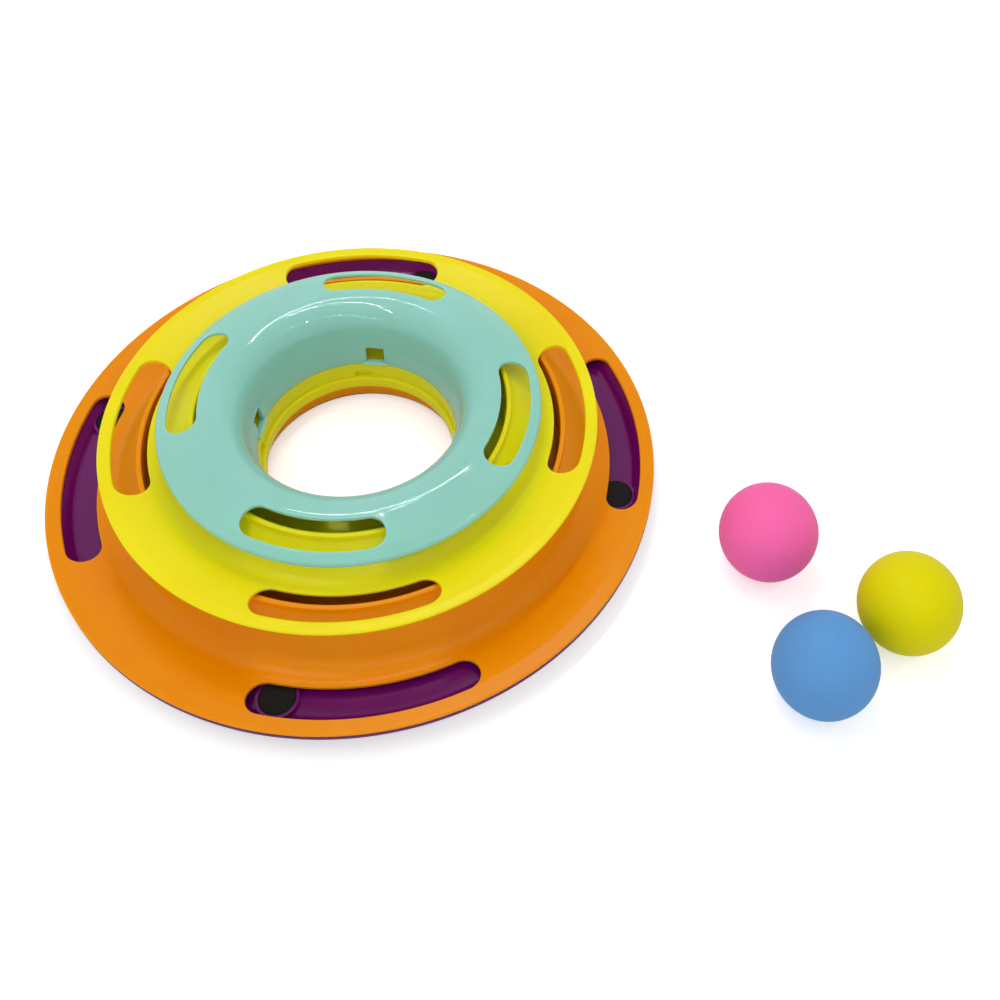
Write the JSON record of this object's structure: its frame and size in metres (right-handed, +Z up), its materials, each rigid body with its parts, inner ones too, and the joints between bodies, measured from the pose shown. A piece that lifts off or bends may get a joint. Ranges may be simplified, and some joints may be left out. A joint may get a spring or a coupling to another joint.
{
  "type": "cat ball track toy",
  "caption": "Round tower of nested track rings with curved paw slots on a tray with rubber feet, and loose hollow balls lying beside it, for a cat to bat about.",
  "frame": {"origin": "on the axis of the rings at floor level, in the plane of the tray's underside", "axes": "+Z up along the axis of the rings; +X towards the side where the balls lie; +Y to the back"},
  "size_m": [0.3707, 0.25, 0.0516],
  "materials": {
    "purple_plastic": "moulded, polished",
    "black_rubber": "moulded, matt",
    "orange_plastic": "moulded, polished",
    "yellow_plastic": "moulded, polished",
    "mint_plastic": "moulded, polished",
    "pink_ball": "moulded, satin",
    "yellow_ball": "moulded, satin",
    "blue_ball": "moulded, satin"
  },
  "bodies": {
    "base": {"base_tray": "purple_plastic", "rubber_foot_right": "black_rubber", "rubber_foot_back": "black_rubber", "rubber_foot_left": "black_rubber", "rubber_foot_front": "black_rubber"},
    "lower_ring": {"lower_ring": "orange_plastic"},
    "middle_ring": {"middle_ring": "yellow_plastic"},
    "top_ring": {"top_ring": "mint_plastic"},
    "pink_ball": {"pink_ball_tongue_half": "pink_ball", "pink_ball_rebate_half": "pink_ball"},
    "yellow_ball": {"yellow_ball_tongue_half": "yellow_ball", "yellow_ball_rebate_half": "yellow_ball"},
    "blue_ball": {"blue_ball_tongue_half": "blue_ball", "blue_ball_rebate_half": "blue_ball"}
  },
  "joints": [
    {"name": "lower_ring_lift", "type": "slide", "parent": "base", "child": "lower_ring", "axis": [0, 0, 1], "range_m": [0, 0.05]},
    {"name": "middle_ring_lift", "type": "slide", "parent": "lower_ring", "child": "middle_ring", "axis": [0, 0, 1], "range_m": [0, 0.05]},
    {"name": "top_ring_lift", "type": "slide", "parent": "middle_ring", "child": "top_ring", "axis": [0, 0, 1], "range_m": [0, 0.05]},
    {"name": "pink_ball_roll", "type": "slide", "parent": "base", "child": "pink_ball", "axis": [0, 1, 0], "range_m": [0, 0.08]},
    {"name": "yellow_ball_roll", "type": "slide", "parent": "base", "child": "yellow_ball", "axis": [1, 0, 0], "range_m": [0, 0.08]},
    {"name": "blue_ball_roll", "type": "slide", "parent": "base", "child": "blue_ball", "axis": [0, -1, 0], "range_m": [0, 0.08]}
  ]
}
